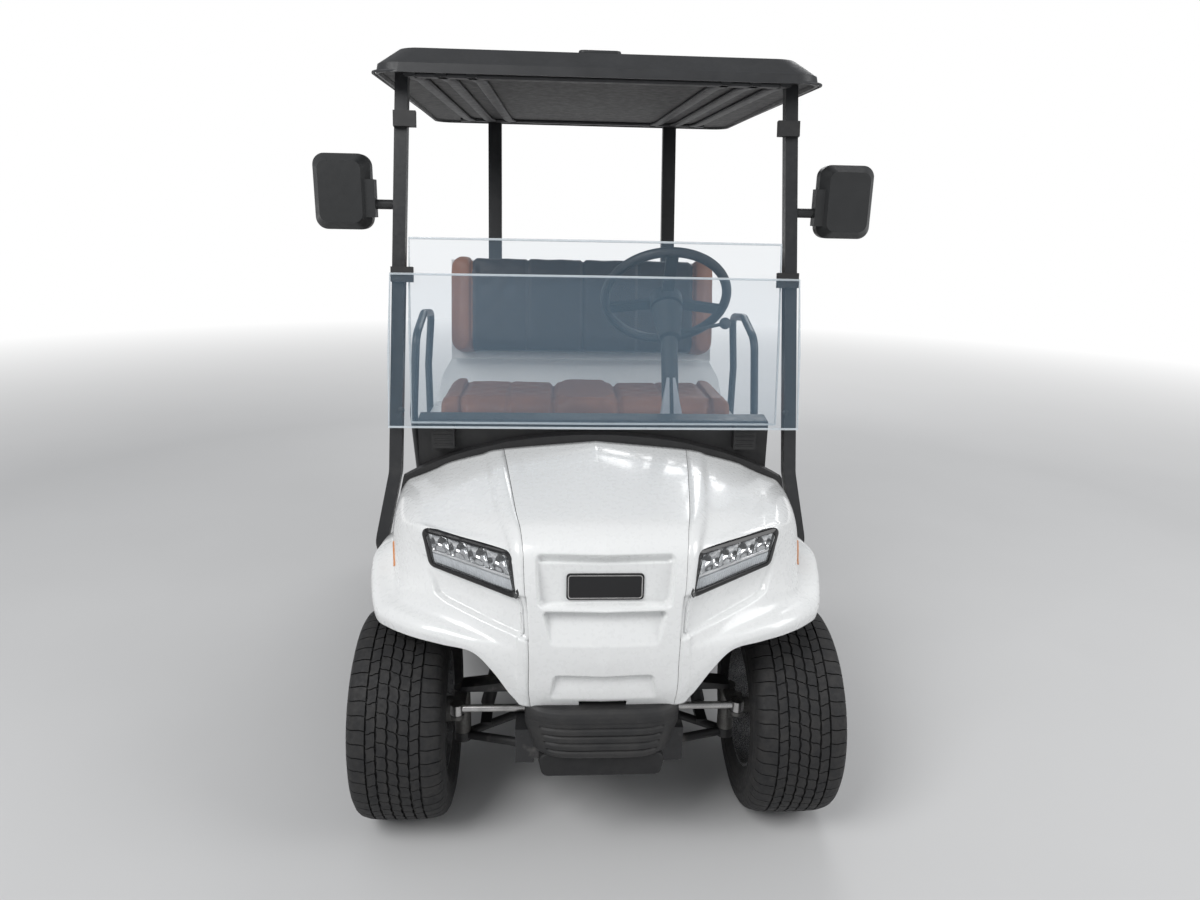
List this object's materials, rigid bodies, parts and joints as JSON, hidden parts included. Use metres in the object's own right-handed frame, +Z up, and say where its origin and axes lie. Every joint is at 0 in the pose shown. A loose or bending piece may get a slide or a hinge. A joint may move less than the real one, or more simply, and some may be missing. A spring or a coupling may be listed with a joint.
{
  "type": "two-seat electric golf cart",
  "caption": "Two-seat golf cart with moulded white body, dark roof on slim posts, folding windscreen, bench seat and golf bag well.",
  "frame": {"origin": "ground level, at the middle of the cart's length and width", "axes": "+Z up, +Y to the rear, +X to the driver's side"},
  "size_m": [1.432, 2.35, 1.884],
  "materials": {
    "frame_black": "satin",
    "suspension_black": "satin",
    "cast_grey": "cast",
    "motor_black": "satin",
    "battery_case": "matt",
    "floor_mat": "ribbed",
    "black_trim": "grained",
    "pearl_white": "pearl gloss",
    "bumper_black": "grained",
    "lamp_black": "gloss",
    "lamp_lens": "clear",
    "plate_black": "gloss",
    "dash_dark": "grained",
    "pedal_rubber": "ribbed",
    "post_black": "satin powder coat",
    "seat_shell_white": "gloss",
    "tan_vinyl": "grained vinyl",
    "roof_black": "matt",
    "liner_dark": "matt",
    "clear_pane": "clear",
    "mirror_shell": "satin",
    "tail_red": "clear red",
    "wheel_grip": "soft",
    "bright_steel": "machined",
    "seat_board": "matt",
    "tyre_black": "tread",
    "alloy": "machined"
  },
  "bodies": {
    "chassis": {"frame_chassis": "frame_black", "front_suspension": "suspension_black", "steering_gear": "cast_grey", "rear_axle": "cast_grey", "drive_motor": "motor_black", "rear_suspension": "suspension_black", "battery_pack": "battery_case", "floor_pan": "floor_mat", "rocker_panels": "black_trim", "hood_panel": "pearl_white", "fender_left": "pearl_white", "fender_right": "pearl_white", "front_bumper": "bumper_black", "headlight_housings": "lamp_black", "headlight_lenses": "lamp_lens", "badge_plate": "plate_black", "cowl_trim": "black_trim", "dash": "dash_dark", "steering_column": "dash_dark", "pedals": "pedal_rubber", "seat_pod": "pearl_white", "rear_body": "pearl_white", "bag_well": "black_trim", "bag_rack": "post_black", "basket": "black_trim", "seat_back_shell": "seat_shell_white", "seat_back_cushion": "tan_vinyl", "hip_restraints": "post_black", "front_posts": "post_black", "rear_posts": "post_black", "roof_canopy": "roof_black", "roof_liner": "liner_dark", "windscreen_lower": "clear_pane", "windscreen_clamps": "black_trim", "mirrors": "mirror_shell", "tail_lights": "tail_red", "rear_bumper": "bumper_black"},
    "steering_wheel": {"steering_wheel": "wheel_grip"},
    "rack": {"tie_rods": "bright_steel"},
    "knuckle_left": {"knuckle_left": "cast_grey"},
    "knuckle_right": {"knuckle_right": "cast_grey"},
    "wheel_front_left": {"rim_front_left": "alloy", "tyre_front_left": "tyre_black"},
    "wheel_front_right": {"rim_front_right": "alloy", "tyre_front_right": "tyre_black"},
    "wheel_rear_left": {"rim_rear_left": "alloy", "tyre_rear_left": "tyre_black"},
    "wheel_rear_right": {"rim_rear_right": "alloy", "tyre_rear_right": "tyre_black"},
    "windscreen_upper": {"windscreen_upper": "clear_pane"},
    "seat_lid": {"seat_base": "seat_board", "seat_cushion": "tan_vinyl"}
  },
  "joints": [
    {"name": "steering", "type": "hinge", "parent": "chassis", "child": "steering_wheel", "pos_m": [0.22, -0.29, 1.25], "axis": [0, 0.766, 0.6428], "range_deg": [-390, 390]},
    {"name": "rack_slide", "type": "slide", "parent": "chassis", "child": "rack", "axis": [1, 0, 0], "range_m": [-0.058, 0.058]},
    {"name": "steer_left", "type": "hinge", "parent": "chassis", "child": "knuckle_left", "pos_m": [0.342, -0.89, 0.26], "axis": [0, 0, 1], "range_deg": [-30, 30]},
    {"name": "roll_front_left", "type": "hinge", "parent": "knuckle_left", "child": "wheel_front_left", "pos_m": [0.474, -0.89, 0.26], "axis": [1, 0, 0], "continuous": true},
    {"name": "roll_rear_left", "type": "hinge", "parent": "chassis", "child": "wheel_rear_left", "pos_m": [0.474, 0.774, 0.26], "axis": [1, 0, 0], "continuous": true},
    {"name": "steer_right", "type": "hinge", "parent": "chassis", "child": "knuckle_right", "pos_m": [-0.342, -0.89, 0.26], "axis": [0, 0, 1], "range_deg": [-30, 30]},
    {"name": "roll_front_right", "type": "hinge", "parent": "knuckle_right", "child": "wheel_front_right", "pos_m": [-0.474, -0.89, 0.26], "axis": [1, 0, 0], "continuous": true},
    {"name": "roll_rear_right", "type": "hinge", "parent": "chassis", "child": "wheel_rear_right", "pos_m": [-0.474, 0.774, 0.26], "axis": [1, 0, 0], "continuous": true},
    {"name": "windscreen_fold", "type": "hinge", "parent": "chassis", "child": "windscreen_upper", "pos_m": [0, -0.60136, 1.33033], "axis": [-1, 0, 0], "range_deg": [0, 180]},
    {"name": "seat_hinge", "type": "hinge", "parent": "chassis", "child": "seat_lid", "pos_m": [0, 0.308, 0.7773], "axis": [-1, 0, 0], "range_deg": [0, 45]}
  ],
  "couplings": [
    {"joint": "rack_slide", "follows": "steering", "m_per_rad": 0.008447},
    {"joint": "steer_left", "follows": "steering", "ratio": 0.0769},
    {"joint": "steer_right", "follows": "steering", "ratio": 0.0769}
  ]
}
